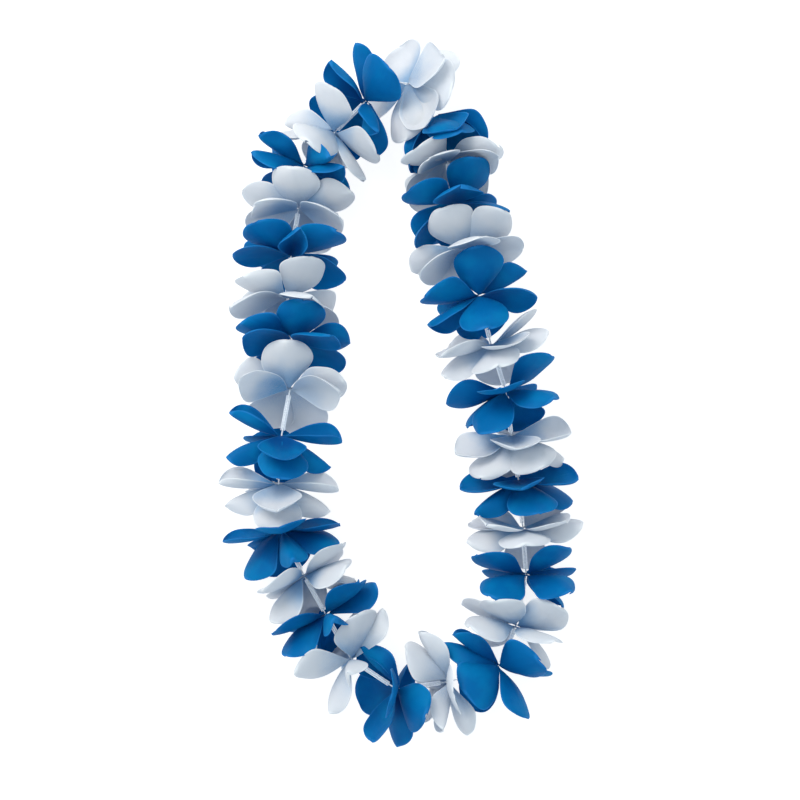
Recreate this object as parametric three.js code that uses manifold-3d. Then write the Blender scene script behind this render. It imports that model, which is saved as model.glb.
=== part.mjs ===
// A party flower lei, laid flat: thirty fabric blooms, blue and white in turn, on one thin thread
// that is tied into a ring, with a clear plastic spacer tube between each bloom and the next.
// Each bloom is two cupped discs of four petals, set back to back on the thread.
// Units are millimetres and degrees, +Z is up, and the origin is under the middle of the lei.

import * as THREE from 'three';
import { mergeVertices } from 'three/addons/utils/BufferGeometryUtils.js';
import Module from 'manifold-3d';

const wasm = await Module();
wasm.setup();

// Driving dimensions.
const THREAD_HEIGHT = 28;
const THREAD_RADIUS = 0.5;
const THREAD_SIDES = 6;
const KNOT_RADIUS = 1.7;
const TAIL_LENGTH = 7;
const TAIL_SPREAD = 35;
const TAIL_START = 0.5; // each tail starts this far from the knot's middle

const SPACER_LENGTH = 25;
const SPACER_OUTER_RADIUS = 1.6;
const SPACER_BORE_RADIUS = 1.1;
const SPACER_SIDES = 8;

const HOLE_RADIUS = 1;
const HOLE_SIDES = 6;
const HUB_FACE = 1.5; // each disc's face stands this far off the bloom's middle, round the hole
const HUB_LAP = 0.5; // each disc's back reaches this far into the other disc, round the hole
const STRAIGHT_HALF = 1.6; // the thread runs straight this far each side of a bloom's middle
const DISC_OFFSET = 0.8; // each disc's petals start this far off the bloom's middle

const PETAL_ROOT = 3; // distance of a petal's root from the thread's middle
const PETAL_LENGTH = 39;
const PETAL_HALF_WIDTH = 18;
const PETAL_WIDEST = 0.6; // share of the length at which a petal is widest
const ROOT_WIDTH_SHARE = 0.08;
const CLOTH = 0.8;
const BEND = 26; // a petal turns this far along its length, towards the face of its disc
const CUP = 0.3; // rise of a petal's edges, as a share of its half width
const FOLDED_CUP = 1.15; // and of the edges of a petal that is folded along its middle
const FOLDED_WIDTH_SHARE = 0.55; // a folded petal is this much as wide as an open one
const SLIDE = 0.8; // a point pressed up by the surface slides this share of its rise along it
const FLARE = 24; // side petals of an upright bloom turn their upper edges apart by this much
const FLARE_TILT = 32; // a bloom tilted this far has no flare
const FOLDED_FLARE_SHARE = 0.3; // and a folded petal has this share of it
const LOBE_SPACING = 80; // least angle between the petals of one disc
const SPACING_ROUNDS = 40;

// How much the petals differ, each way: angles in degrees, sizes as shares.
const BEND_VARIES = 8;
const CUP_VARIES = 0.06;
const ROLL_VARIES = 7;
const LENGTH_VARIES = 0.03;
const WIDTH_VARIES = 0.04;
const FIRST_SEED = 20;
const SEED_FACTOR = 16807;
const SEED_RANGE = 2147483647;

// How far petals keep clear of each other and how they settle.
const LAYER_GAP = 2.3;
const OWN_GAP = 1.2;
const SETTLE_ROUNDS = 160;
const STEEPEST = 68;
const SPRING_ROUNDS = 110;
const SPRING = 0.06;
const OWN_STRENGTH = 0.3;
const MOST_PUSH = 2;
const SHORT_REACH = 14;
const PAST_TIP = 1.03; // a petal still pushes this far past its tip, as a share of its length
const LAST_SHARE = 0.97; // and there it is as wide as here
const PAST_EDGE = 1;
const FIRM_LEAN = 33; // a petal that leans at least this far hardly gives way
const FIRM_GIVE = 0.12;

// Middle of each bloom, in order along the thread: down the left side, round the foot, up the right.
const BLOOM_PLACES = [
  [-24, 209], [-46, 187], [-67, 164], [-71, 134], [-76, 102], [-79, 72], [-74, 41], [-77, 8],
  [-83, -26], [-85, -60], [-83, -92], [-67, -123], [-52, -150], [-34, -181], [-2, -202],
  [34, -197], [69, -186], [81, -158], [88, -122], [86, -90], [83, -57], [78, -26], [74, 6],
  [64, 38], [55, 73], [45, 106], [37, 138], [33, 168], [24, 197], [6, 221],
];
const KNOT_PLACE = [-8, 223];

// How each bloom has fallen. Its tilt is how far its top leans towards the next bloom. A petal is
// [bearing, lean] or [bearing, lean, 'folded']: bearing goes round the thread from straight up
// towards the outside of the ring, and lean is positive towards the next bloom. The rear disc
// faces the bloom before, the fore disc the next.
const BLOOM_PETALS = [
  { tilt: -35, rear: [[12, -42], [88, -34, 'folded'], [168, 10, 'folded'], [-95, 10, 'folded']],
    fore: [[62, 6, 'folded'], [-36, 34, 'folded'], [-122, 34, 'folded'], [138, 34]] },
  { tilt: -12, rear: [[45, -34], [118, 4, 'folded'], [-57, -34], [-160, 16]],
    fore: [[95, 48], [12, 50], [-75, -8], [-165, 44]] },
  { tilt: -10, rear: [[62, 2, 'folded'], [-20, 4, 'folded'], [-110, 4, 'folded'], [150, 12]],
    fore: [[62, 20, 'folded'], [-45, 12, 'folded'], [-115, 25, 'folded'], [150, 46]] },
  { tilt: -40, rear: [[15, -56], [-62, -44], [95, -8], [-150, 20]],
    fore: [[50, 2], [-50, 6], [128, 28], [-160, 46]] },
  { tilt: -30, rear: [[46, -28], [-50, -32], [130, 12], [-140, 15]],
    fore: [[80, 8], [-5, -2, 'folded'], [-98, 25], [165, 44]] },
  { tilt: -30, rear: [[-38, -45], [52, -20], [135, 14], [-130, 14]],
    fore: [[-30, 0], [72, 5], [-105, 28], [165, 44]] },
  { tilt: -38, rear: [[-14, -45], [69, -18], [150, 20], [-105, 5]],
    fore: [[-40, -5], [60, 4], [145, 42], [-118, 35]] },
  { tilt: -45, rear: [[20, -56], [95, -12], [-70, -14], [170, 28]],
    fore: [[68, 0], [-60, -4], [145, 46], [-150, 46]] },
  { tilt: 25, rear: [[70, -16, 'folded'], [150, 12], [-82, 0, 'folded'], [-5, 26]],
    fore: [[78, 26, 'folded'], [-7, 46], [-95, 30, 'folded'], [175, 50]] },
  { tilt: 25, rear: [[85, 0, 'folded'], [-85, 2, 'folded'], [165, 14], [0, 28]],
    fore: [[92, 20, 'folded'], [1, 46], [-90, 26, 'folded'], [180, 50]] },
  { tilt: 20, rear: [[0, -6], [82, -4], [-95, 0], [165, 14]],
    fore: [[-78, 23], [-14, 50, 'folded'], [98, 38], [165, 48]] },
  { tilt: 8, rear: [[40, -36], [-62, -12], [-142, 8], [140, 12]],
    fore: [[76, 24], [-48, 10], [-128, 40], [156, 44]] },
  { tilt: 10, rear: [[80, -8], [-63, -2], [-140, 6], [150, 8]],
    fore: [[75, 12], [-5, 8, 'folded'], [-95, 20], [150, 40]] },
  { tilt: 0, rear: [[-51, -34], [75, -32], [145, 2], [-120, 0, 'folded']],
    fore: [[12, 4, 'folded'], [86, 26], [-85, 8, 'folded'], [-165, 34]] },
  { tilt: 30, rear: [[160, -44], [85, -12], [-118, -20, 'folded'], [0, 12]],
    fore: [[102, 12], [24, 48], [-80, -24, 'folded'], [178, 14]] },
  { tilt: 5, rear: [[-75, -50], [50, -14, 'folded'], [141, -36], [-146, -36]],
    fore: [[-75, 4, 'folded'], [10, 0], [95, 5], [175, -12]] },
  { tilt: 5, rear: [[-79, -18, 'folded'], [0, -42], [78, -12], [150, -44]],
    fore: [[22, 38], [115, 34], [-70, -8, 'folded'], [-155, -24]] },
  { tilt: 0, rear: [[-51, -24], [40, -18], [120, -28], [-140, -44]],
    fore: [[-28, 18], [47, 34], [124, 7], [-110, 6]] },
  { tilt: -5, rear: [[-41, -28], [50, -22], [130, -30], [-132, -44]],
    fore: [[-66, 34], [56, 36], [140, -4], [-150, -12]] },
  { tilt: -25, rear: [[0, -26], [82, -26], [-80, -14], [170, -46]],
    fore: [[-38, -4], [48, 0], [130, 12], [-122, -6]] },
  { tilt: -25, rear: [[18, -34], [100, -18], [-60, -30, 'folded'], [-148, -38]],
    fore: [[-75, -2], [0, -10], [75, 0], [175, -18]] },
  { tilt: -28, rear: [[-48, -38], [30, -36], [108, -16], [-165, -45]],
    fore: [[-75, -5], [0, -14], [80, 2], [165, -18]] },
  { tilt: 5, rear: [[-39, -38], [50, -16], [160, -44], [-120, -30]],
    fore: [[-80, 24], [-5, 2], [68, 38], [170, -14]] },
  { tilt: -15, rear: [[-74, -10], [0, -34], [75, -16], [170, -45]],
    fore: [[15, -8], [100, 14], [-132, -10], [-57, 0]] },
  { tilt: 30, rear: [[0, -36], [80, -20], [-85, -15, 'folded'], [-173, -44]],
    fore: [[18, 58], [106, 10, 'folded'], [-62, 12], [-145, -20]] },
  { tilt: 38, rear: [[-61, -14], [20, 8], [95, -12], [-160, -45]],
    fore: [[-18, 58], [64, 18], [140, -18], [-105, 0]] },
  { tilt: 25, rear: [[10, 8], [95, -18], [-100, -30], [172, -45]],
    fore: [[-47, 26], [50, 44], [140, -20], [-125, -22]] },
  { tilt: 38, rear: [[65, 4], [-20, 8], [140, -34], [-105, -24]],
    fore: [[-32, 46], [60, 16], [145, -14], [-105, -8]] },
  { tilt: 35, rear: [[20, -4], [105, -20], [-78, -22], [-165, -50]],
    fore: [[12, 30], [98, -4], [-75, 0, 'folded'], [-160, -34]] },
  { tilt: -42, rear: [[25, -52], [105, -26], [-70, -30], [178, -10]],
    fore: [[45, -34], [145, 26], [-45, -20], [-135, 36]] },
];

const BLUE = new THREE.MeshStandardMaterial({
  name: 'blue_fabric', color: 0x0a5da8, roughness: 0.62, metalness: 0, side: THREE.DoubleSide,
});
const WHITE = new THREE.MeshStandardMaterial({
  name: 'white_fabric', color: 0xd7dde6, roughness: 0.6, metalness: 0, side: THREE.DoubleSide,
});
const CLEAR = new THREE.MeshStandardMaterial({
  name: 'clear_tube', color: 0xe6eef5, roughness: 0.15, metalness: 0, transparent: true,
  opacity: 0.45,
});
const THREAD = new THREE.MeshStandardMaterial({
  name: 'thread', color: 0xe9e9e4, roughness: 0.8, metalness: 0,
});

const UP = new THREE.Vector3(0, 0, 1);
const radians = THREE.MathUtils.degToRad;
const clamp = THREE.MathUtils.clamp;

// A small seeded generator, so that each petal differs a little and always in the same way.
let seed = FIRST_SEED;
function vary(amount) {
  seed = (seed * SEED_FACTOR) % SEED_RANGE;
  return amount * (2 * seed / SEED_RANGE - 1);
}

// Turns a geometry into a solid for cutting and joining.
function toSolid(geometry) {
  const bare = geometry.index ? geometry.clone() : geometry;
  bare.deleteAttribute('normal');
  bare.deleteAttribute('uv');
  const merged = mergeVertices(bare, 1e-4);
  return new wasm.Manifold(new wasm.Mesh({
    numProp: 3,
    vertProperties: new Float32Array(merged.attributes.position.array),
    triVerts: new Uint32Array(merged.index.array),
  }));
}

function toGeometry(solid) {
  const mesh = solid.getMesh();
  const geometry = new THREE.BufferGeometry();
  geometry.setAttribute('position', new THREE.BufferAttribute(mesh.vertProperties, 3));
  geometry.setIndex(new THREE.BufferAttribute(mesh.triVerts, 1));
  geometry.computeVertexNormals();
  return geometry;
}

function joined(solids) {
  return solids.reduce((whole, solid) => whole.add(solid));
}

// A round ring with a bore, its axis along Y.
function boredRing(boreRadius, outerRadius, height) {
  const half = height / 2;
  const profile = [
    [boreRadius, -half], [outerRadius, -half], [outerRadius, half], [boreRadius, half],
    [boreRadius, -half],
  ];
  return new THREE.LatheGeometry(profile.map(([x, y]) => new THREE.Vector2(x, y)), SPACER_SIDES);
}

// Places and directions along the thread. Each bloom has its own frame: along the thread to the
// next bloom, up, and out of the ring.
const middles = BLOOM_PLACES.map(([x, y]) => new THREE.Vector3(x, y, THREAD_HEIGHT));
const knotMiddle = new THREE.Vector3(...KNOT_PLACE, THREAD_HEIGHT);

const frames = middles.map((middle, i) => {
  const before = i === 0 ? knotMiddle : middles[i - 1];
  const after = i === middles.length - 1 ? knotMiddle : middles[i + 1];
  const arriving = middle.clone().sub(before).normalize();
  const leaving = after.clone().sub(middle).normalize();
  const along = arriving.add(leaving).normalize();
  const out = along.clone().cross(UP);
  return { middle, along, out };
});

// A petal as it is first laid: bearing and lean from the list, with small differences in shape.
function layPetal(bloom, facing, [bearing, lean, fold]) {
  const { tilt } = BLOOM_PETALS[bloom];
  const flare = FLARE * Math.max(1 - Math.abs(tilt) / FLARE_TILT, 0) * (fold ? FOLDED_FLARE_SHARE : 1);
  const twist = -(tilt + facing * flare) * Math.sin(radians(bearing));
  return {
    bloom,
    facing,
    bearing: radians(bearing),
    lean: radians(lean),
    wish: radians(lean),
    give: Math.abs(lean) < FIRM_LEAN ? 1 : FIRM_GIVE,
    bend: radians(BEND + vary(BEND_VARIES)),
    cup: (fold ? FOLDED_CUP : CUP) + vary(CUP_VARIES),
    roll: radians(twist + vary(ROLL_VARIES)),
    length: PETAL_LENGTH * (1 + vary(LENGTH_VARIES)),
    halfWidth: PETAL_HALF_WIDTH * (fold ? FOLDED_WIDTH_SHARE : 1) * (1 + vary(WIDTH_VARIES)),
  };
}

// The petals of one disc, eased round the thread until none lies over the next.
function layDisc(bloom, facing, falls) {
  const disc = falls.map((fall) => layPetal(bloom, facing, fall));
  disc.sort((a, b) => a.bearing - b.bearing);
  for (let round = 0; round < SPACING_ROUNDS; round += 1) {
    disc.forEach((petal, k) => {
      const next = disc[(k + 1) % disc.length];
      const lap = k + 1 === disc.length ? 2 * Math.PI : 0;
      const short = radians(LOBE_SPACING) - (next.bearing + lap - petal.bearing);
      if (short > 0) {
        petal.bearing -= short / 2;
        next.bearing += short / 2;
      }
    });
  }
  return disc;
}

const petals = BLOOM_PETALS.flatMap(({ rear, fore }, bloom) => [
  ...layDisc(bloom, -1, rear),
  ...layDisc(bloom, 1, fore),
]);

// Half width of a petal at a share of its length: a narrow root, widest past the middle, round end.
function halfWidthAt(petal, share) {
  const rise = Math.sin((Math.PI / 2) * Math.min(share / PETAL_WIDEST, 1));
  const past = Math.max(share - PETAL_WIDEST, 0) / (1 - PETAL_WIDEST);
  const fall = Math.sqrt(Math.max(1 - past * past, 0));
  return petal.halfWidth * (ROOT_WIDTH_SHARE + (1 - ROOT_WIDTH_SHARE) * rise) * fall;
}

// Directions of a petal that don't change as it leans.
function petalAxes(petal) {
  const { along, out } = frames[petal.bloom];
  const away = UP.clone().multiplyScalar(Math.cos(petal.bearing));
  away.addScaledVector(out, Math.sin(petal.bearing));
  const across = UP.clone().multiplyScalar(-Math.sin(petal.bearing));
  across.addScaledVector(out, Math.cos(petal.bearing));
  const root = frames[petal.bloom].middle.clone().addScaledVector(away, PETAL_ROOT);
  root.addScaledVector(along, petal.facing * DISC_OFFSET);
  return { along, away, across, root };
}

for (const petal of petals) {
  petal.axes = petalAxes(petal);
}

// The middle surface of a petal, at a share of its length and from -1 to 1 across it, and the
// direction square to it. The rib is an arc, and the edges rise towards the disc's face.
function petalPoint(petal, share, side) {
  const { along, away, across, root } = petal.axes;
  const turn = petal.facing * petal.bend;
  const start = petal.lean - turn / 2;
  const angle = start + turn * share;
  const perRadian = petal.length / turn;
  const point = root.clone();
  point.addScaledVector(away, perRadian * (Math.sin(angle) - Math.sin(start)));
  point.addScaledVector(along, perRadian * (Math.cos(start) - Math.cos(angle)));
  const normal = away.clone().multiplyScalar(-Math.sin(angle));
  normal.addScaledVector(along, Math.cos(angle));
  const sideways = across.clone().multiplyScalar(Math.cos(petal.roll));
  sideways.addScaledVector(normal, Math.sin(petal.roll));
  const raised = normal.clone().multiplyScalar(Math.cos(petal.roll));
  raised.addScaledVector(across, -Math.sin(petal.roll));
  const halfWidth = halfWidthAt(petal, share);
  const slope = 2 * petal.facing * petal.cup * side;
  point.addScaledVector(sideways, side * halfWidth);
  point.addScaledVector(raised, petal.facing * petal.cup * side * side * halfWidth);
  const square = raised.addScaledVector(sideways, -slope).normalize();
  return { point, square };
}

// How far a point stands off a petal's surface, along the thread's direction of travel, and its
// distance from the petal's root. Null where the point is past the petal's outline.
function standOff(petal, point) {
  const { along, away, across, root } = petal.axes;
  const offset = point.clone().sub(root);
  const outward = offset.dot(away);
  const onward = offset.dot(along);
  const sideways = offset.dot(across);
  const reach = Math.hypot(outward, onward);
  const share = reach / petal.length;
  if (outward < 0 || share > PAST_TIP) {
    return null;
  }
  const halfWidth = halfWidthAt(petal, Math.min(share, LAST_SHARE)) + PAST_EDGE;
  if (Math.abs(sideways) > halfWidth) {
    return null;
  }
  const turn = petal.facing * petal.bend;
  const ribAngle = petal.lean - turn / 2 + (turn * share) / 2;
  const height = reach * Math.sin(Math.atan2(onward, outward) - ribAngle);
  const side = sideways / Math.cos(petal.roll);
  const dish = (petal.facing * petal.cup * side * side) / halfWidth;
  return { gap: height - dish / Math.cos(petal.roll) - side * Math.sin(petal.roll), reach };
}

const PROBES = [0.38, 0.58, 0.78, LAST_SHARE].flatMap((share) => (
  [-0.95, -0.5, 0, 0.5, 0.95].map((side) => [share, side])));

// Every two petals that could touch: those of one bloom, which may rest on each other and are
// only eased apart, and those of a bloom and the next, which have to stay clear.
function touchingPairs() {
  const pairs = [];
  for (const first of petals) {
    for (const second of petals) {
      const step = (second.bloom - first.bloom + frames.length) % frames.length;
      if (step === 1) {
        pairs.push({ first, second, clear: LAYER_GAP, strength: 1 });
      }
      if (step === 0 && first.facing < second.facing) {
        pairs.push({ first, second, clear: OWN_GAP, strength: OWN_STRENGTH });
      }
    }
  }
  return pairs;
}

// Marks how far each of two petals has to turn for one point of contact to open.
function pushApart(first, second, short, firstReach, secondReach) {
  const share = first.give / (first.give + second.give);
  const turn = Math.min(short, MOST_PUSH);
  first.push = Math.min(first.push, (-turn * share) / Math.max(firstReach, SHORT_REACH));
  second.lift = Math.max(second.lift, (turn * (1 - share)) / Math.max(secondReach, SHORT_REACH));
}

// Lets the petals push each other apart until each bloom's petals lie between its neighbours'.
// At first each petal is also drawn back towards its own lean.
function settle() {
  const pairs = touchingPairs();
  for (let round = 0; round < SETTLE_ROUNDS; round += 1) {
    const sprung = round < SPRING_ROUNDS;
    for (const petal of petals) {
      petal.push = 0;
      petal.lift = 0;
      petal.probes = PROBES.map(([share, side]) => petalPoint(petal, share, side).point);
    }
    for (const { first, second, clear, strength } of pairs) {
      PROBES.forEach(([share], k) => {
        const above = standOff(first, second.probes[k]);
        if (above && above.gap < clear) {
          const short = strength * (clear - above.gap);
          pushApart(first, second, short, above.reach, share * second.length);
        }
        const below = standOff(second, first.probes[k]);
        if (below && below.gap > -clear) {
          const short = strength * (clear + below.gap);
          pushApart(first, second, short, share * first.length, below.reach);
        }
      });
    }
    for (const petal of petals) {
      const spring = sprung ? SPRING * (petal.wish - petal.lean) : 0;
      petal.lean += petal.push + petal.lift + spring;
      petal.lean = clamp(petal.lean, -radians(STEEPEST), radians(STEEPEST));
    }
  }
}

settle();

// A petal's blade: outline points from one side of the root round the tip to the other side, then
// two points on its rib, each at a share of the length and a side.
const BLADE_POINTS = [
  [0, -1], [0.36, -1], [0.7, -1], [0.96, -1], [0.96, 1], [0.7, 1], [0.36, 1], [0, 1],
  [0.36, 0], [0.74, 0],
];
const OUTLINE_COUNT = 8;
const BLADE_TRIANGLES = [
  [0, 1, 8], [0, 8, 7], [7, 8, 6], [1, 2, 8], [2, 9, 8], [8, 9, 5], [8, 5, 6],
  [2, 3, 9], [3, 4, 9], [4, 5, 9],
];

// The blade's points on both faces. What would reach below the surface lies flat along it instead,
// with the face that looked up more still uppermost.
function bladePoints(petal) {
  const laid = BLADE_POINTS.map(([share, side]) => petalPoint(petal, share, side));
  const pressed = laid.filter(({ point }) => point.z < CLOTH / 2);
  const lie = Math.sign(pressed.reduce((sum, { square }) => sum + square.z, 0));
  for (const { point, square } of pressed) {
    point.addScaledVector(petal.axes.along, lie * SLIDE * (CLOTH / 2 - point.z));
    point.z = CLOTH / 2;
    square.set(0, 0, lie);
  }
  return laid.map(({ point, square }) => [CLOTH / 2, -CLOTH / 2].map((offset) => (
    point.clone().addScaledVector(square, offset))));
}

// Triangles between two rings of points round the thread, each in order of angle.
function stitch(inner, outer) {
  const triangles = [];
  const turn = 2 * Math.PI;
  const angle = (ring, k) => ring[k % ring.length].angle + turn * Math.floor(k / ring.length);
  let i = 0;
  let o = 0;
  while (i < inner.length || o < outer.length) {
    const innerNext = i < inner.length && (o === outer.length
      || angle(inner, i) + angle(inner, i + 1) < angle(outer, o) + angle(outer, o + 1));
    const a = inner[i % inner.length].index;
    const b = outer[o % outer.length].index;
    if (innerNext) {
      i += 1;
      triangles.push([a, b, inner[i % inner.length].index]);
    } else {
      o += 1;
      triangles.push([a, b, outer[o % outer.length].index]);
    }
  }
  return triangles;
}

// One disc: four petals round a middle with a hole for the thread, as one closed sheet.
function discGeometry(i, facing) {
  const { middle, along, out } = frames[i];
  const points = [];
  const index = [];
  const add = (point) => points.push(point) - 1;
  const face = (a, b, c, forward) => (forward ? index.push(a, b, c) : index.push(a, c, b));

  const hole = [facing * HUB_FACE, -facing * HUB_LAP].sort((a, b) => b - a).map((offset) =>
    Array.from({ length: HOLE_SIDES }, (unused, k) => {
      const angle = (k / HOLE_SIDES) * 2 * Math.PI;
      const point = middle.clone().addScaledVector(along, offset);
      point.addScaledVector(UP, HOLE_RADIUS * Math.cos(angle));
      point.addScaledVector(out, HOLE_RADIUS * Math.sin(angle));
      return { angle, index: add(point) };
    }));

  const roots = [[], []];
  const rims = [];
  for (const petal of petals.filter((each) => each.bloom === i && each.facing === facing)) {
    const indices = bladePoints(petal).map((pair) => pair.map(add));
    for (const [a, b, c] of BLADE_TRIANGLES) {
      face(indices[a][0], indices[b][0], indices[c][0], true);
      face(indices[a][1], indices[b][1], indices[c][1], false);
    }
    for (let k = 0; k + 1 < OUTLINE_COUNT; k += 1) {
      rims.push([indices[k], indices[k + 1]]);
    }
    const halfAngle = Math.atan2(halfWidthAt(petal, 0), PETAL_ROOT);
    [0, 1].forEach((level) => {
      roots[level].push({ angle: petal.bearing - halfAngle, index: indices[0][level] });
      roots[level].push({
        angle: petal.bearing + halfAngle, index: indices[OUTLINE_COUNT - 1][level],
      });
    });
  }
  for (let k = 1; k < roots[0].length; k += 2) {
    const next = (k + 1) % roots[0].length;
    rims.push([roots.map((ring) => ring[k].index), roots.map((ring) => ring[next].index)]);
  }
  for (const [[a, b], [c, d]] of rims) {
    face(a, b, c, true);
    face(c, b, d, true);
  }
  roots.forEach((ring, level) => {
    const first = ring[0].angle;
    const turned = hole[level].map(({ angle, index: at }) => (
      { angle: first + THREE.MathUtils.euclideanModulo(angle - first, 2 * Math.PI), index: at }));
    turned.sort((a, b) => a.angle - b.angle);
    stitch(turned, ring).forEach(([a, b, c]) => face(a, b, c, level === 0));
  });
  hole[0].forEach(({ index: a }, k) => {
    const next = (k + 1) % HOLE_SIDES;
    face(a, hole[0][next].index, hole[1][k].index, true);
    face(hole[1][k].index, hole[0][next].index, hole[1][next].index, true);
  });
  const geometry = new THREE.BufferGeometry();
  const positions = points.flatMap((point) => point.toArray());
  geometry.setAttribute('position', new THREE.Float32BufferAttribute(positions, 3));
  geometry.setIndex(index);
  return geometry;
}

// The largest body of a solid, without the loose chips that a cut can leave.
function largestBody(solid) {
  return solid.decompose().reduce((best, body) => (body.volume() > best.volume() ? body : best));
}

// The blooms' solids. Where the corner of a petal would still reach into a bloom laid before it,
// that corner ends against the other petal.
const bloomSolids = [];
frames.forEach((frame, i) => {
  const whole = joined([discGeometry(i, -1), discGeometry(i, 1)].map(toSolid));
  const crossed = bloomSolids.filter((before) => before.intersect(whole).volume() > 0);
  const cut = crossed.reduce((left, before) => left.subtract(before), whole);
  bloomSolids.push(largestBody(cut));
});

function bloomMesh(solid, i) {
  const colour = i % 2 === 0 ? 'blue' : 'white';
  const mesh = new THREE.Mesh(toGeometry(solid), colour === 'blue' ? BLUE : WHITE);
  mesh.name = `bloom_${String(i + 1).padStart(2, '0')}_${colour}`;
  return mesh;
}

// Where the thread leaves a bloom (side 1) or comes to it (side -1).
function threadEnd(i, side) {
  const { middle, along } = frames[i];
  return middle.clone().addScaledVector(along, side * STRAIGHT_HALF);
}

function spacerMesh(i) {
  const start = threadEnd(i, 1);
  const end = threadEnd(i + 1, -1);
  const mesh = new THREE.Mesh(
    boredRing(SPACER_BORE_RADIUS, SPACER_OUTER_RADIUS, SPACER_LENGTH), CLEAR);
  mesh.position.copy(start).add(end).multiplyScalar(0.5);
  mesh.quaternion.setFromUnitVectors(new THREE.Vector3(0, 1, 0), end.sub(start).normalize());
  mesh.name = `spacer_${String(i + 1).padStart(2, '0')}`;
  return mesh;
}

// The thread as a closed ring with a corner at each side of each bloom and at the knot.
function threadGeometry() {
  const corners = [knotMiddle];
  frames.forEach((frame, i) => corners.push(threadEnd(i, -1), threadEnd(i, 1)));
  const count = corners.length;
  const positions = [];
  const index = [];
  corners.forEach((corner, i) => {
    const arriving = corner.clone().sub(corners[(i + count - 1) % count]).normalize();
    const leaving = corners[(i + 1) % count].clone().sub(corner).normalize();
    const halfCosine = Math.cos(arriving.angleTo(leaving) / 2);
    const out = arriving.add(leaving).normalize().cross(UP);
    for (let k = 0; k < THREAD_SIDES; k += 1) {
      const angle = (k / THREAD_SIDES) * 2 * Math.PI;
      const point = corner.clone().addScaledVector(UP, THREAD_RADIUS * Math.cos(angle));
      point.addScaledVector(out, (THREAD_RADIUS * Math.sin(angle)) / halfCosine);
      positions.push(...point.toArray());
      const a = i * THREAD_SIDES + k;
      const b = i * THREAD_SIDES + (k + 1) % THREAD_SIDES;
      const c = ((i + 1) % count) * THREAD_SIDES + k;
      const d = ((i + 1) % count) * THREAD_SIDES + (k + 1) % THREAD_SIDES;
      index.push(a, b, c, c, b, d);
    }
  });
  const geometry = new THREE.BufferGeometry();
  geometry.setAttribute('position', new THREE.Float32BufferAttribute(positions, 3));
  geometry.setIndex(index);
  return geometry;
}

// One cut end of the thread, sticking out of the knot to one side.
function tailGeometry(turnDegrees) {
  const outward = new THREE.Vector3(0, 1, 0).applyAxisAngle(UP, radians(turnDegrees));
  const geometry = new THREE.CylinderGeometry(
    THREAD_RADIUS, THREAD_RADIUS, TAIL_LENGTH, THREAD_SIDES);
  const middle = knotMiddle.clone().addScaledVector(outward, TAIL_LENGTH / 2 + TAIL_START);
  geometry.applyQuaternion(
    new THREE.Quaternion().setFromUnitVectors(new THREE.Vector3(0, 1, 0), outward));
  return geometry.translate(middle.x, middle.y, middle.z);
}

function threadMesh() {
  const knot = new THREE.IcosahedronGeometry(KNOT_RADIUS, 1);
  knot.translate(knotMiddle.x, knotMiddle.y, knotMiddle.z);
  const tails = [tailGeometry(TAIL_SPREAD), tailGeometry(-TAIL_SPREAD)];
  const solid = joined([threadGeometry(), knot, ...tails].map(toSolid));
  const mesh = new THREE.Mesh(toGeometry(solid), THREAD);
  mesh.name = 'thread';
  return mesh;
}

const lei = new THREE.Group();
bloomSolids.forEach((solid, i) => lei.add(bloomMesh(solid, i)));
frames.slice(0, -1).forEach((frame, i) => lei.add(spacerMesh(i)));
lei.add(threadMesh());

// The origin is under the middle of the lei's box, on the surface that it lies on.
const box = new THREE.Box3().setFromObject(lei);
const centre = box.getCenter(new THREE.Vector3());
lei.position.set(-centre.x, -centre.y, -box.min.z);

export default lei;
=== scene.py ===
"""The looks of a party flower lei, laid flat: thirty fabric blooms, blue and white in turn, on a
thin thread with clear spacer tubes. Every petal is laid and settled as in the CAD source, then
drawn as a thin sheet of cloth with soft creases and waves. Lengths are in millimetres and angles
in degrees until they reach Blender, which works in metres and radians.
"""
import math
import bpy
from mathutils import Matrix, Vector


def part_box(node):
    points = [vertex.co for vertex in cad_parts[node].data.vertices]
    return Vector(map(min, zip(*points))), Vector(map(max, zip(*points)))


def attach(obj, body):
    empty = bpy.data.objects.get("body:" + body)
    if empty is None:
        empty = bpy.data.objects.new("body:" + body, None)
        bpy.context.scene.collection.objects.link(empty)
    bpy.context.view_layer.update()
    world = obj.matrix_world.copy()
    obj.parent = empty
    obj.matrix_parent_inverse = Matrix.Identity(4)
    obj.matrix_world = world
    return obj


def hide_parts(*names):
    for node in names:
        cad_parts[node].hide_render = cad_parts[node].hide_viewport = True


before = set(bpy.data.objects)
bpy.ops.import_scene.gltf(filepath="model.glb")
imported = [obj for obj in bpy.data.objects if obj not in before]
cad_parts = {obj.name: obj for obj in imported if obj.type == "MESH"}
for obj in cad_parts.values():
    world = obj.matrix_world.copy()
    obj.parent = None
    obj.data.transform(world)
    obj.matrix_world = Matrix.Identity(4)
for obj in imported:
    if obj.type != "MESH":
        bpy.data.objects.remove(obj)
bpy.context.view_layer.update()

from types import SimpleNamespace

import bmesh
import bpy
import numpy as np

MM = 0.001

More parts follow.
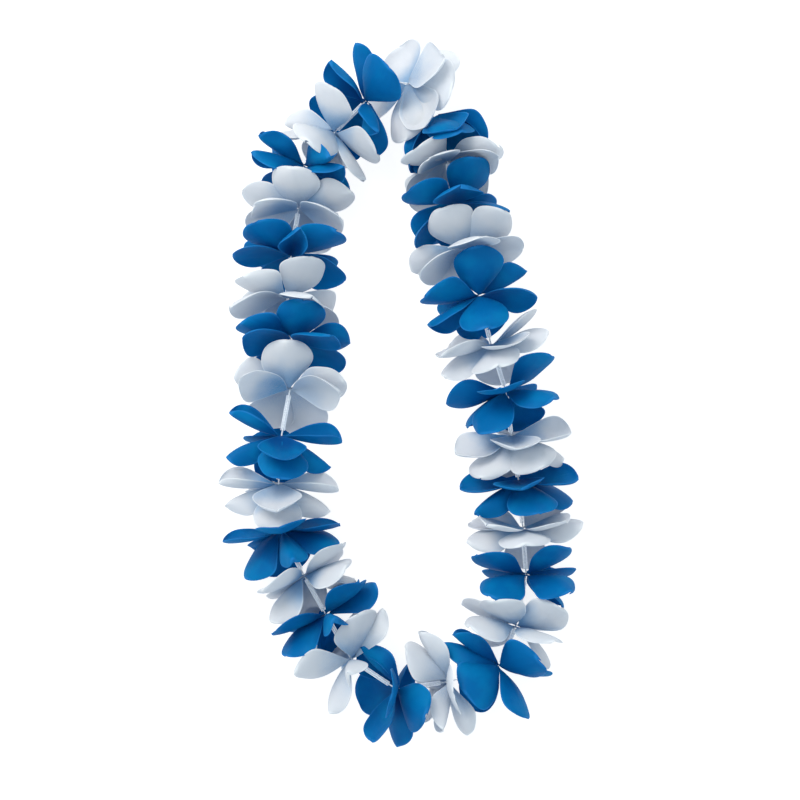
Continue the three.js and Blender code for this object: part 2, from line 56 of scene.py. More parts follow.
# Driving dimensions, as in the CAD source.
THREAD_HEIGHT = 28
THREAD_RADIUS = 0.5
KNOT_RADIUS = 1.7
TAIL_LENGTH = 7
TAIL_SPREAD = 35
SPACER_LENGTH = 25
SPACER_OUTER_RADIUS = 1.6
SPACER_BORE_RADIUS = 1.1
HOLE_RADIUS = 1
STRAIGHT_HALF = 1.6
DISC_OFFSET = 0.8
PETAL_ROOT = 3
PETAL_LENGTH = 39
PETAL_HALF_WIDTH = 18
PETAL_WIDEST = 0.6
ROOT_WIDTH_SHARE = 0.08
BEND = 26
CUP = 0.3
FOLDED_CUP = 1.15
FOLDED_WIDTH_SHARE = 0.55
FOLDED_FLARE_SHARE = 0.3
SLIDE = 0.8
FLARE = 24
FLARE_TILT = 32
LOBE_SPACING = 80
SPACING_ROUNDS = 40

# How much the petals differ, each way.
BEND_VARIES = 8
CUP_VARIES = 0.06
ROLL_VARIES = 7
LENGTH_VARIES = 0.03
WIDTH_VARIES = 0.04
FIRST_SEED = 20
SEED_FACTOR = 16807
SEED_RANGE = 2147483647

# How the petals settle.
LAYER_GAP = 2.3
OWN_GAP = 1.2
SETTLE_ROUNDS = 160
STEEPEST = 68
SPRING_ROUNDS = 110
SPRING = 0.06
OWN_STRENGTH = 0.3
MOST_PUSH = 2
SHORT_REACH = 14
PAST_TIP = 1.03
LAST_SHARE = 0.97
PAST_EDGE = 1
FIRM_LEAN = 33
FIRM_GIVE = 0.12
PROBE_SHARES = (0.38, 0.58, 0.78, LAST_SHARE)
PROBE_SIDES = (-0.95, -0.5, 0, 0.5, 0.95)

# Middle of each bloom, in order along the thread: down the left side, round the foot, up the right.
BLOOM_PLACES = [
    (-24, 209), (-46, 187), (-67, 164), (-71, 134), (-76, 102), (-79, 72), (-74, 41), (-77, 8),
    (-83, -26), (-85, -60), (-83, -92), (-67, -123), (-52, -150), (-34, -181), (-2, -202),
    (34, -197), (69, -186), (81, -158), (88, -122), (86, -90), (83, -57), (78, -26), (74, 6),
    (64, 38), (55, 73), (45, 106), (37, 138), (33, 168), (24, 197), (6, 221),
]
KNOT_PLACE = (-8, 223)

# How each bloom has fallen: its tilt, then the petals of its rear and its fore disc, each as
# (bearing, lean) or (bearing, lean, FOLDED), as in the CAD source.
FOLDED = True
BLOOM_PETALS = [
    (-35, [(12, -42), (88, -34, FOLDED), (168, 10, FOLDED), (-95, 10, FOLDED)],
     [(62, 6, FOLDED), (-36, 34, FOLDED), (-122, 34, FOLDED), (138, 34)]),
    (-12, [(45, -34), (118, 4, FOLDED), (-57, -34), (-160, 16)],
     [(95, 48), (12, 50), (-75, -8), (-165, 44)]),
    (-10, [(62, 2, FOLDED), (-20, 4, FOLDED), (-110, 4, FOLDED), (150, 12)],
     [(62, 20, FOLDED), (-45, 12, FOLDED), (-115, 25, FOLDED), (150, 46)]),
    (-40, [(15, -56), (-62, -44), (95, -8), (-150, 20)],
     [(50, 2), (-50, 6), (128, 28), (-160, 46)]),
    (-30, [(46, -28), (-50, -32), (130, 12), (-140, 15)],
     [(80, 8), (-5, -2, FOLDED), (-98, 25), (165, 44)]),
    (-30, [(-38, -45), (52, -20), (135, 14), (-130, 14)],
     [(-30, 0), (72, 5), (-105, 28), (165, 44)]),
    (-38, [(-14, -45), (69, -18), (150, 20), (-105, 5)],
     [(-40, -5), (60, 4), (145, 42), (-118, 35)]),
    (-45, [(20, -56), (95, -12), (-70, -14), (170, 28)],
     [(68, 0), (-60, -4), (145, 46), (-150, 46)]),
    (25, [(70, -16, FOLDED), (150, 12), (-82, 0, FOLDED), (-5, 26)],
     [(78, 26, FOLDED), (-7, 46), (-95, 30, FOLDED), (175, 50)]),
    (25, [(85, 0, FOLDED), (-85, 2, FOLDED), (165, 14), (0, 28)],
     [(92, 20, FOLDED), (1, 46), (-90, 26, FOLDED), (180, 50)]),
    (20, [(0, -6), (82, -4), (-95, 0), (165, 14)],
     [(-78, 23), (-14, 50, FOLDED), (98, 38), (165, 48)]),
    (8, [(40, -36), (-62, -12), (-142, 8), (140, 12)],
     [(76, 24), (-48, 10), (-128, 40), (156, 44)]),
    (10, [(80, -8), (-63, -2), (-140, 6), (150, 8)],
     [(75, 12), (-5, 8, FOLDED), (-95, 20), (150, 40)]),
    (0, [(-51, -34), (75, -32), (145, 2), (-120, 0, FOLDED)],
     [(12, 4, FOLDED), (86, 26), (-85, 8, FOLDED), (-165, 34)]),
    (30, [(160, -44), (85, -12), (-118, -20, FOLDED), (0, 12)],
     [(102, 12), (24, 48), (-80, -24, FOLDED), (178, 14)]),
    (5, [(-75, -50), (50, -14, FOLDED), (141, -36), (-146, -36)],
     [(-75, 4, FOLDED), (10, 0), (95, 5), (175, -12)]),
    (5, [(-79, -18, FOLDED), (0, -42), (78, -12), (150, -44)],
     [(22, 38), (115, 34), (-70, -8, FOLDED), (-155, -24)]),
    (0, [(-51, -24), (40, -18), (120, -28), (-140, -44)],
     [(-28, 18), (47, 34), (124, 7), (-110, 6)]),
    (-5, [(-41, -28), (50, -22), (130, -30), (-132, -44)],
     [(-66, 34), (56, 36), (140, -4), (-150, -12)]),
    (-25, [(0, -26), (82, -26), (-80, -14), (170, -46)],
     [(-38, -4), (48, 0), (130, 12), (-122, -6)]),
    (-25, [(18, -34), (100, -18), (-60, -30, FOLDED), (-148, -38)],
     [(-75, -2), (0, -10), (75, 0), (175, -18)]),
    (-28, [(-48, -38), (30, -36), (108, -16), (-165, -45)],
     [(-75, -5), (0, -14), (80, 2), (165, -18)]),
    (5, [(-39, -38), (50, -16), (160, -44), (-120, -30)],
     [(-80, 24), (-5, 2), (68, 38), (170, -14)]),
    (-15, [(-74, -10), (0, -34), (75, -16), (170, -45)],
     [(15, -8), (100, 14), (-132, -10), (-57, 0)]),
    (30, [(0, -36), (80, -20), (-85, -15, FOLDED), (-173, -44)],
     [(18, 58), (106, 10, FOLDED), (-62, 12), (-145, -20)]),
    (38, [(-61, -14), (20, 8), (95, -12), (-160, -45)],
     [(-18, 58), (64, 18), (140, -18), (-105, 0)]),
    (25, [(10, 8), (95, -18), (-100, -30), (172, -45)],
     [(-47, 26), (50, 44), (140, -20), (-125, -22)]),
    (38, [(65, 4), (-20, 8), (140, -34), (-105, -24)],
     [(-32, 46), (60, 16), (145, -14), (-105, -8)]),
    (35, [(20, -4), (105, -20), (-78, -22), (-165, -50)],
     [(12, 30), (98, -4), (-75, 0, FOLDED), (-160, -34)]),
    (-42, [(25, -52), (105, -26), (-70, -30), (178, -10)],
     [(45, -34), (145, 26), (-45, -20), (-135, 36)]),
]

# The cloth's thickness.
CLOTH = 0.35

# The grid of points that a petal is drawn with: its rows along and across, where its last row
# lies as a share of the length, and how much closer together the rows are near the tip.
GRID_SHARES = 20
GRID_SIDES = 15
LAST_ROW = 0.9985
TIP_CROWDING = 1.7

# The collar round the hole, where the petals of a disc are one sheet. Each of its rows of points
# has a radius, and a share of the petal's length and width that leads on to the petal's own.
COLLAR_RADII = (HOLE_RADIUS, 2)
COLLAR_SHARES = (-0.12, -0.06)
COLLAR_SIDE = 0.1
COLLAR_OFFSET = 0.6
WELD_GAP = 0.02

# The petals' waves: each has a height, and how many radians it runs through along the petal and
# from its rib to its edge.
WAVE_SEED = 7
WAVE = 0.75
TWIST = (1.0, 4.2, 0)
RIPPLE = (0.8, 3, 2.6)
RIM_RIPPLE = (0.5, 7, 3)
OUTLINE_VARIES = 2.1
OUTLINE_WAVES = ((1.0, 5, 1.5), (0.6, 9, -2))

# The curled rim, the crease along the rib, and the soft bend where a petal meets the surface.
RIM_CURL = 0.9
RIM_CURL_POWER = 6
RIM_RIPPLE_POWER = 3
RIB_CREASE = 0.7
RIB_CREASE_WIDTH = 1.6
RIB_CREASE_FADE = 1.5
RIB_CREASE_START = 0.2
PRESS_SOFTNESS = 0.9

# The tubes and the thread.
SPACER_SIDES = 32
SPACER_EDGE = 0.12
SHARP_ANGLE = 50
CORD_SIDES = 6
KNOT_POINTS = 28
KNOT_TUBE = 0.62
TREFOIL_REACH = 3
TAIL_POINTS = 6
TAIL_DROOP = 1.2

# The cloth's surface: its flat map spans FLAT_SPAN of cloth, and a wave texture has a fixed number
# of bands in each unit of its scale.
FLAT_SPAN = 100
WAVE_TEXTURE_BANDS = 20
WEAVE_PITCH = 0.4
WEAVE_WANDER = 0.4
WEAVE_DEPTH = 0.02
WEAVE_STRENGTH = 0.5
CREASE_STRETCH = (14, 3, 1)
CREASE_DETAIL = 2.0
CREASE_DEPTH = 1.0
CREASE_STRENGTH = 0.6
MOTTLE_SCALE = 45.0
MOTTLE_DETAIL = 3.0
MOTTLE_RANGE = (0.3, 0.7)
CLOTH_ROUGHNESS = (0.46, 0.6)
CLOTH_SHEEN = 0.12
CLOTH_SHEEN_ROUGHNESS = 0.5
CLOTH_SPECULAR = 0.08

# Where painted shade darkens the cloth near the hub and by how much from petal to petal, where it
# has lighter patches, and where a painted highlight runs along the sealed rim.
PAINTED_SHADE_MOTTLE = 0.5
PAINTED_SHADE_FADES = (0.3, 0.95)
PAINTED_SHADE_STRENGTHS = (0.2, 0.9)
PATCH_FADES = (0.42, 0.68)
PATCH_STRENGTH = 0.6
RIM_HIGHLIGHT_FADES = (0.935, 0.975)
RIM_HIGHLIGHT_STRENGTH = 0.7

# Each dye's colours: the cloth's own, its lighter patches, its painted shade near the hub (on the
# white, the blue of light bled through from its blue neighbours), its painted highlight along the
# sealed rim, of the light that comes through it, and of its sheen. Then how much of its light comes
# through, and how opaque it is.
BLUE = SimpleNamespace(
    main=(0.0, 0.155, 0.41), light=(0.0, 0.245, 0.52), painted_shade=(0.0, 0.06, 0.27),
    rim=(0.02, 0.24, 0.60), through=(0.0, 0.24, 0.62), sheen=(0.05, 0.45, 0.9),
    share_through=0.3, opacity=1.0)
WHITE = SimpleNamespace(
    main=(0.79, 0.785, 0.80), light=(0.84, 0.825, 0.82), painted_shade=(0.12, 0.40, 0.68),
    rim=(0.98, 0.97, 0.96), through=(0.77, 0.82, 0.88), sheen=(0.9, 0.95, 1.0),
    share_through=0.38, opacity=0.96)

TUBE_COLOUR = (0.95, 0.97, 1.0)
TUBE_IOR = 1.45
TUBE_SPECULAR = 0.8
# The tube's glow is painted light: the clear plastic glows evenly, standing in for light its wall
# carries to its edges.
TUBE_PAINTED_GLOW_COLOUR = (0.85, 0.93, 1.0)
TUBE_PAINTED_GLOW = 0.2
TUBE_HAZE_SCALE = 120.0
TUBE_HAZE_DETAIL = 2.0
TUBE_HAZE_RANGE = (0.3, 0.7)
TUBE_ROUGHNESS = (0.1, 0.22)
TUBE_EDGE_BLEND = 0.35
TUBE_EDGE_RANGE = (0.15, 0.45)
TUBE_OPACITY = (0.12, 0.95)

THREAD_SHADE = (0.74, 0.77, 0.80)
THREAD_COLOUR = (0.92, 0.93, 0.94)
THREAD_ROUGHNESS = 0.75
THREAD_TWIST_SCALE = 260.0
THREAD_TWIST_WANDER = 1.0
THREAD_TWIST_DEPTH = 0.1
THREAD_TWIST_STRENGTH = 0.6

# The floor is bright paper, and the key light and the sky light it from above.
FLOOR_SIZE = 6000
FLOOR_COLOUR = (0.36, 0.36, 0.36)
FLOOR_ROUGHNESS = 0.9
FLOOR_SPECULAR = 0.1
FLOOR_GLOW_COLOUR = (1.0, 1.0, 1.0)
FLOOR_GLOW = 0.84
SKY_COLOUR = (0.79, 0.92, 1.0)
SKY_STRENGTH = 0.98
KEY_PLACE = (-900, 1300, 1500)
KEY_SIZE = 1400
KEY_POWER = 34
KEY_COLOUR = (1.0, 0.95, 0.88)

# The camera looks straight down from this height, and its picture takes in this much.
CAMERA_HEIGHT = 3000
VIEW_WIDTH = 560
SENSOR_WIDTH = 36

UP = np.array([0.0, 0.0, 1.0])


def unit(vectors):
    """The vectors at length one."""
    return vectors / np.linalg.norm(vectors, axis=-1, keepdims=True)


def thread_frames():
    """Middles of the blooms, and the directions along the thread and out of the ring there."""
    middles = np.array([(x, y, THREAD_HEIGHT) for x, y in BLOOM_PLACES], float)
    knot = np.array([(*KNOT_PLACE, THREAD_HEIGHT)], float)
    route = np.vstack([knot, middles, knot])
    arriving = unit(route[1:-1] - route[:-2])
    leaving = unit(route[2:] - route[1:-1])
    along = unit(arriving + leaving)
    return middles, along, np.cross(along, UP), knot[0]


MIDDLES, ALONG, OUT, KNOT = thread_frames()


def seeded_draws():
    """The CAD source's small generator: the next draw, each way of zero."""
    seed = FIRST_SEED
    while True:
        seed = (seed * SEED_FACTOR) % SEED_RANGE
        yield 2 * seed / SEED_RANGE - 1


def lay_petal(bloom, facing, bearing, lean, folded, draws):
    """One petal's measures, from how it has fallen and its share of chance."""
    tilt = BLOOM_PETALS[bloom][0]
    flare = FLARE * max(1 - abs(tilt) / FLARE_TILT, 0) * (FOLDED_FLARE_SHARE if folded else 1)
    twist = -(tilt + facing * flare) * math.sin(math.radians(bearing))
    width = PETAL_HALF_WIDTH * (FOLDED_WIDTH_SHARE if folded else 1)
    return {
        "bloom": bloom,
        "facing": facing,
        "bearing": math.radians(bearing),
        "lean": math.radians(lean),
        "give": 1 if abs(lean) < FIRM_LEAN else FIRM_GIVE,
        "bend": math.radians(BEND + BEND_VARIES * next(draws)),
        "cup": (FOLDED_CUP if folded else CUP) + CUP_VARIES * next(draws),
        "roll": math.radians(twist + ROLL_VARIES * next(draws)),
        "length": PETAL_LENGTH * (1 + LENGTH_VARIES * next(draws)),
        "half_width": width * (1 + WIDTH_VARIES * next(draws)),
    }


def lay_disc(bloom, facing, falls, draws):
    """The petals of one disc, eased round the thread until none lies over the next."""
    disc = [lay_petal(bloom, facing, *fall, *[False] * (3 - len(fall)), draws) for fall in falls]
    disc.sort(key=lambda petal: petal["bearing"])
    for _ in range(SPACING_ROUNDS):
        for k, petal in enumerate(disc):
            after = disc[(k + 1) % len(disc)]
            lap = 2 * math.pi if k + 1 == len(disc) else 0
            short = math.radians(LOBE_SPACING) - (after["bearing"] + lap - petal["bearing"])
            if short > 0:
                petal["bearing"] -= short / 2
                after["bearing"] += short / 2
    return disc


def lay_petals():
    """Every petal's measures, each as one array over all the petals."""
    draws = seeded_draws()
    rows = []
    for bloom, (_, rear, fore) in enumerate(BLOOM_PETALS):
        rows += lay_disc(bloom, -1, rear, draws)
        rows += lay_disc(bloom, 1, fore, draws)
    petals = SimpleNamespace(**{key: np.array([row[key] for row in rows]) for key in rows[0]})
    petals.wish = petals.lean.copy()
    along, out = ALONG[petals.bloom], OUT[petals.bloom]
    cosine, sine = np.cos(petals.bearing)[:, None], np.sin(petals.bearing)[:, None]
    petals.along = along
    petals.away = cosine * UP + sine * out
    petals.across = cosine * out - sine * UP
    petals.root = MIDDLES[petals.bloom] + PETAL_ROOT * petals.away
    petals.root += along * (petals.facing * DISC_OFFSET)[:, None]
    return petals


def half_width_at(half_width, share):
    """Half a petal's width at a share of its length: a quick rise, then a round tip."""
    rise = np.sin(math.pi / 2 * np.minimum(share / PETAL_WIDEST, 1))
    past = np.maximum(share - PETAL_WIDEST, 0) / (1 - PETAL_WIDEST)
    fall = np.sqrt(np.maximum(1 - past * past, 0))
    return half_width * (ROOT_WIDTH_SHARE + (1 - ROOT_WIDTH_SHARE) * rise) * fall


def petal_points(petals, shares, sides):
    """Points of every petal at these shares of its length and sides, and the square directions."""
    facing, cup = petals.facing[:, None], petals.cup[:, None]
    turn = facing * petals.bend[:, None]
    start = petals.lean[:, None] - turn / 2
    angle = start + turn * shares
    per_radian = petals.length[:, None] / turn
    outward = (per_radian * (np.sin(angle) - np.sin(start)))[..., None]
    onward = (per_radian * (np.cos(start) - np.cos(angle)))[..., None]
    along, away, across = petals.along[:, None], petals.away[:, None], petals.across[:, None]
    points = petals.root[:, None] + outward * away + onward * along
    normal = np.cos(angle)[..., None] * along - np.sin(angle)[..., None] * away
    roll = petals.roll[:, None, None]
    sideways = np.cos(roll) * across + np.sin(roll) * normal
    raised = np.cos(roll) * normal - np.sin(roll) * across
    width = half_width_at(petals.half_width[:, None], shares)
    points = points + (sides * width)[..., None] * sideways
    points = points + (facing * cup * sides ** 2 * width)[..., None] * raised
    square = unit(raised - (2 * facing * cup * sides)[..., None] * sideways)
    return points, square


def stand_off(petals, at, points):
    """How far points stand off the petals numbered `at`, their reach, and where that counts."""
    offset = points - petals.root[at][:, None]
    outward = np.einsum("pkc,pc->pk", offset, petals.away[at])
    onward = np.einsum("pkc,pc->pk", offset, petals.along[at])
    sideways = np.einsum("pkc,pc->pk", offset, petals.across[at])
    reach = np.hypot(outward, onward)
    share = reach / petals.length[at][:, None]
    half_width = half_width_at(petals.half_width[at][:, None], np.minimum(share, LAST_SHARE))
    half_width = half_width + PAST_EDGE
    counts = (outward >= 0) & (share <= PAST_TIP) & (np.abs(sideways) <= half_width)
    facing, roll = petals.facing[at][:, None], petals.roll[at][:, None]
    turn = facing * petals.bend[at][:, None]
    rib_angle = petals.lean[at][:, None] - turn / 2 + turn * share / 2
    height = reach * np.sin(np.arctan2(onward, outward) - rib_angle)
    side = sideways / np.cos(roll)
    dish = facing * petals.cup[at][:, None] * side ** 2 / half_width
    return height - dish / np.cos(roll) - side * np.sin(roll), reach, counts


def touching_pairs(petals):
    """Every two petals that could touch: of one bloom, and of a bloom and the next."""
    first, second = np.meshgrid(*[np.arange(len(petals.bloom))] * 2, indexing="ij")
    first, second = first.ravel(), second.ravel()
    step = (petals.bloom[second] - petals.bloom[first]) % len(MIDDLES)
    nearby = step == 1
    own = (step == 0) & (petals.facing[first] < petals.facing[second])
    chosen = nearby | own
    return (first[chosen], second[chosen], np.where(nearby, LAYER_GAP, OWN_GAP)[chosen],
            np.where(nearby, 1, OWN_STRENGTH)[chosen])


def settle(petals):
    """Lets the petals push each other apart, as in the CAD source."""
    first, second, clear, strength = touching_pairs(petals)
    clear, strength = clear[:, None], strength[:, None]
    shares, sides = (grid.ravel() for grid in np.meshgrid(PROBE_SHARES, PROBE_SIDES, indexing="ij"))
    share_of = (petals.give[first] / (petals.give[first] + petals.give[second]))[:, None]
    most = math.radians(STEEPEST)
    for turn_number in range(SETTLE_ROUNDS):
        probes, _ = petal_points(petals, shares, sides)
        push = np.zeros(len(petals.lean))
        lift = np.zeros(len(petals.lean))

        def apart(short, counts, first_reach, second_reach):
            turn = np.where(counts & (short > 0), np.minimum(short, MOST_PUSH), 0)
            down = -turn * share_of / np.maximum(first_reach, SHORT_REACH)
            over = turn * (1 - share_of) / np.maximum(second_reach, SHORT_REACH)
            np.minimum.at(push, first, down.min(1))
            np.maximum.at(lift, second, over.max(1))

        gap, reach, counts = stand_off(petals, first, probes[second])
        apart(strength * (clear - gap), counts, reach, shares * petals.length[second][:, None])
        gap, reach, counts = stand_off(petals, second, probes[first])
        apart(strength * (clear + gap), counts, shares * petals.length[first][:, None], reach)
        spring = SPRING * (petals.wish - petals.lean) if turn_number < SPRING_ROUNDS else 0
        petals.lean = np.clip(petals.lean + push + lift + spring, -most, most)


def origin_shift():
    """From the lists' own place to the CAD frame: the first spacer shows how far."""
    low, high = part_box("spacer_01")
    middle = (thread_end(0, 1) + thread_end(1, -1)) / 2
    return (np.array(low) + np.array(high)) / (2 * MM) - middle


def thread_end(bloom, side):
    """Where the thread's straight piece through a bloom ends, behind it or before it."""
    return MIDDLES[bloom] + side * STRAIGHT_HALF * ALONG[bloom]


def cloth_grid():
    """Shares and sides of the points that a petal is drawn with, closer together near the tip."""
    steps = np.linspace(0, 1, GRID_SHARES)
    shares = LAST_ROW * (1 - (1 - steps) ** TIP_CROWDING)
    sides = np.sin(np.linspace(-math.pi / 2, math.pi / 2, GRID_SIDES))
    return tuple(grid.ravel() for grid in np.meshgrid(shares, sides, indexing="ij"))


def sideways_of(points):
    """The direction across each petal, from its left edge to its right, at every point."""
    rows = points.reshape(len(points), GRID_SHARES, GRID_SIDES, 3)
    across = unit(rows[:, :, -1] - rows[:, :, 0])
    return np.repeat(across, GRID_SIDES, axis=1)


def wave_over(petal_wave, shares, sides, phase):
    """One of the petals' waves at these shares and sides."""
    height, along, across = petal_wave
    return height * np.sin(along * shares + across * sides + phase)


def soften(petals, points, square, shares, sides):
    """Adds what formed cloth has: a crease down the rib, a curled rim and slow waves."""
    draws = np.random.default_rng(WAVE_SEED)
    phases = draws.uniform(0, 2 * math.pi, (3, len(petals.lean), 1))
    facing = petals.facing[:, None]
    width = half_width_at(petals.half_width[:, None], shares)
    rim = np.clip(np.maximum(np.abs(sides), (shares - PETAL_WIDEST) / (1 - PETAL_WIDEST)), 0, 1)
    wave = wave_over(TWIST, shares, sides, phases[0]) * sides
    wave = wave + wave_over(RIPPLE, shares, sides, phases[1])
    wave = wave + rim ** RIM_RIPPLE_POWER * wave_over(RIM_RIPPLE, shares, sides, phases[2])
    rise = WAVE * shares * wave + facing * RIM_CURL * rim ** RIM_CURL_POWER * shares
    crease = np.exp(-(sides * width / RIB_CREASE_WIDTH) ** 2) * (1 - shares) ** RIB_CREASE_FADE
    rise = rise - facing * RIB_CREASE * crease * np.minimum(shares / RIB_CREASE_START, 1)
    uneven = sum(wave_over(outline_wave, shares, sides, phase)
                 for outline_wave, phase in zip(OUTLINE_WAVES, phases[1:]))
    spread = OUTLINE_VARIES * shares * sides * uneven
    return points + rise[..., None] * square + spread[..., None] * sideways_of(points)


def press(petals, points, square):
    """What would sink into the surface lies along it instead, with a soft bend where it lands."""
    low = CLOTH / 2
    sunk = PRESS_SOFTNESS * np.log1p(np.exp((low - points[..., 2]) / PRESS_SOFTNESS))
    under = np.maximum(low - points[..., 2], 0)
    lie = np.sign((under * square[..., 2]).sum(1))
    points = points + (lie[:, None] * SLIDE * sunk)[..., None] * petals.along[:, None]
    points[..., 2] = np.maximum(points[..., 2] + sunk, low)
    return points


def collar_rows(petals, number, disc):
    """Two rows of points round the hole, from half way to one petal to half way to the other."""
    place, last = disc.index(number), len(disc) - 1
    bearing = petals.bearing[number]
    before = petals.bearing[disc[place - 1]] - (2 * math.pi if place == 0 else 0)
    after = petals.bearing[disc[(place + 1) % len(disc)]] + (2 * math.pi if place == last else 0)
    halves = np.linspace(-1, 1, GRID_SIDES)
    angles = np.where(halves < 0, bearing + halves * (bearing - before) / 2,
                      bearing + halves * (after - bearing) / 2)
    bloom, facing = petals.bloom[number], petals.facing[number]
    round_thread = np.cos(angles)[:, None] * UP + np.sin(angles)[:, None] * OUT[bloom]
    middle = MIDDLES[bloom] + facing * COLLAR_OFFSET * ALONG[bloom]
    return [middle + radius * round_thread for radius in COLLAR_RADII]


def grid_faces(rows, first):
    """The faces of one petal's grid of points, whose first point has this number."""
    faces = []
    for row in range(rows - 1):
        for column in range(GRID_SIDES - 1):
            point = first + row * GRID_SIDES + column
            faces.append((point, point + 1, point + GRID_SIDES + 1, point + GRID_SIDES))
    return faces


def keep_places(mesh, places, half_widths):
    """Keeps each point's place on its petal, and where it lies on the flat cloth."""
    shares, sides, numbers = places.T
    for label, values in (("share", shares), ("side", sides), ("petal", numbers)):
        mesh.attributes.new(label, "FLOAT", "POINT").data.foreach_set("value", values)
    across = sides * half_width_at(half_widths[numbers.astype(int)], np.clip(shares, 0, 1))
    along = PETAL_ROOT + shares * PETAL_LENGTH
    flat = np.stack([0.5 + across / FLAT_SPAN, along / FLAT_SPAN], 1)
    loop_points = np.array([loop.vertex_index for loop in mesh.loops])
    mesh.uv_layers.new(name="cloth").data.foreach_set("uv", flat[loop_points].ravel())


def bloom_mesh(name, petals, grids, bloom, shift):
    """One bloom's two discs as open sheets, with each point's place on its petal kept with it."""
    shares, sides = cloth_grid()
    shares = np.concatenate([np.repeat(COLLAR_SHARES, GRID_SIDES), shares])
    collar_sides = np.tile(np.linspace(-1, 1, GRID_SIDES), len(COLLAR_SHARES)) * COLLAR_SIDE
    sides = np.concatenate([collar_sides, sides])
    rows = GRID_SHARES + len(COLLAR_SHARES)
    points, faces, places = [], [], []
    for facing in (-1, 1):
        disc = list(np.flatnonzero((petals.bloom == bloom) & (petals.facing == facing)))
        for number in disc:
            faces += grid_faces(rows, len(points) * rows * GRID_SIDES)
            points.append(np.vstack([*collar_rows(petals, number, disc), grids[number]]))
            places.append(np.stack([shares, sides, np.full(len(shares), number)], 1))
    mesh = bpy.data.meshes.new(name)
    mesh.from_pydata((np.vstack(points) + shift) * MM, [], faces)
    keep_places(mesh, np.vstack(places), petals.half_width)
    return mesh


def weld(mesh):
    """Joins the petals of a disc where their edges meet round the hole."""
    work = bmesh.new()
    work.from_mesh(mesh)
    bmesh.ops.remove_doubles(work, verts=work.verts, dist=WELD_GAP * MM)
    bmesh.ops.recalc_face_normals(work, faces=work.faces)
    work.to_mesh(mesh)
    work.free()
    mesh.shade_smooth()


def add_piece(name, data, material, node):
    """Puts a piece into the scene with its material, in place of its CAD node."""
    piece = bpy.data.objects.new(name, data)
    bpy.context.scene.collection.objects.link(piece)
    data.materials.append(material)
    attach(piece, "root")
    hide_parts(node)
    return piece


def add_blooms(petals, shift, materials):
    """Every bloom as one piece of thin cloth."""
    shares, sides = cloth_grid()
    points, square = petal_points(petals, shares, sides)
    points = soften(petals, points, square, shares, sides)
    grids = press(petals, points, square)
    for bloom in range(len(MIDDLES)):
        colour = "white" if bloom % 2 else "blue"
        node = f"bloom_{bloom + 1:02d}_{colour}"
        mesh = bloom_mesh(f"{node}_cloth", petals, grids, bloom, shift)
        weld(mesh)
        slot = f"{colour}_fabric"
        piece = add_piece(f"{node}_cloth", mesh, materials[slot], node)
        thicken = piece.modifiers.new("cloth thickness", "SOLIDIFY")
        thicken.thickness = CLOTH * MM
        thicken.offset = 0


def spacer_profile():
    """Radius and place along the tube of each ring of points, round one closed section."""
    half = SPACER_LENGTH / 2
    inner, outer, edge = SPACER_BORE_RADIUS, SPACER_OUTER_RADIUS, SPACER_EDGE
    return [(inner, -half), (outer - edge, -half), (outer, -half + edge), (outer, half - edge),
            (outer - edge, half), (inner, half)]


def add_spacers(shift, materials):
    """A clear tube midway between each bloom and the next."""
    turns = np.linspace(0, 2 * math.pi, SPACER_SIDES, endpoint=False)
    profile = spacer_profile()
    for number in range(len(MIDDLES) - 1):
        start, end = thread_end(number, 1), thread_end(number + 1, -1)
        along = unit(end - start)
        out = np.cross(along, UP)
        ring = np.cos(turns)[:, None] * UP + np.sin(turns)[:, None] * out
        points = np.vstack([(start + end) / 2 + place * along + radius * ring
                            for radius, place in profile])
        faces = []
        for r in range(len(profile)):
            for c in range(SPACER_SIDES):
                a = r * SPACER_SIDES + c
                b = r * SPACER_SIDES + (c + 1) % SPACER_SIDES
                after = ((r + 1) % len(profile) - r) * SPACER_SIDES
                faces.append((a, b, b + after, a + after))
        node = f"spacer_{number + 1:02d}"
        mesh = bpy.data.meshes.new(f"{node}_tube")
        mesh.from_pydata((points + shift) * MM, [], faces)
        mesh.shade_smooth()
        mesh.set_sharp_from_angle(angle=math.radians(SHARP_ANGLE))
        add_piece(f"{node}_tube", mesh, materials["clear_tube"], node)


def cord_splines(shift):
    """The thread's runs: the ring from knot to knot, the knot's loops and its two cut ends."""
    ring = [KNOT]
    for bloom in range(len(MIDDLES)):
        ring += [thread_end(bloom, -1), thread_end(bloom, 1)]
    ring.append(KNOT)
    turns = np.linspace(0, 2 * math.pi, KNOT_POINTS, endpoint=False)
    loops = np.stack([np.sin(turns) + 2 * np.sin(2 * turns), np.cos(turns) - 2 * np.cos(2 * turns),
                      -np.sin(3 * turns)], 1)
    knot = KNOT + loops * (KNOT_RADIUS - KNOT_TUBE) / TREFOIL_REACH
    tails = []
    for spread in (TAIL_SPREAD, -TAIL_SPREAD):
        turn = math.radians(spread)
        outward = np.array([-math.sin(turn), math.cos(turn), 0])
        steps = np.linspace(0, 1, TAIL_POINTS)[:, None]
        tails.append(KNOT + steps * TAIL_LENGTH * outward - TAIL_DROOP * steps ** 2 * UP)
    return [(np.array(run) + shift, closed)
            for run, closed in ((ring, False), (knot, True), *((tail, False) for tail in tails))]


def add_thread(shift, materials):
    """The thread with its knot, as one round curve along every run."""
    curve = bpy.data.curves.new("thread_cord", "CURVE")
    curve.dimensions = "3D"
    curve.bevel_depth = THREAD_RADIUS * MM
    curve.bevel_resolution = CORD_SIDES
    curve.use_fill_caps = True
    for points, closed in cord_splines(shift):
        spline = curve.splines.new("POLY")
        spline.points.add(len(points) - 1)
        for place, point in zip(spline.points, points):
            place.co = (*point * MM, 1)
        spline.use_cyclic_u = closed
        spline.use_smooth = True
    add_piece("thread_cord", curve, materials["thread"], "thread")


def new_material(name):
    """An empty node material: its tree and its output node."""
    material = bpy.data.materials.new(name)
    material.use_nodes = True
    tree = material.node_tree
    tree.nodes.clear()
    return material, tree, tree.nodes.new("ShaderNodeOutputMaterial")


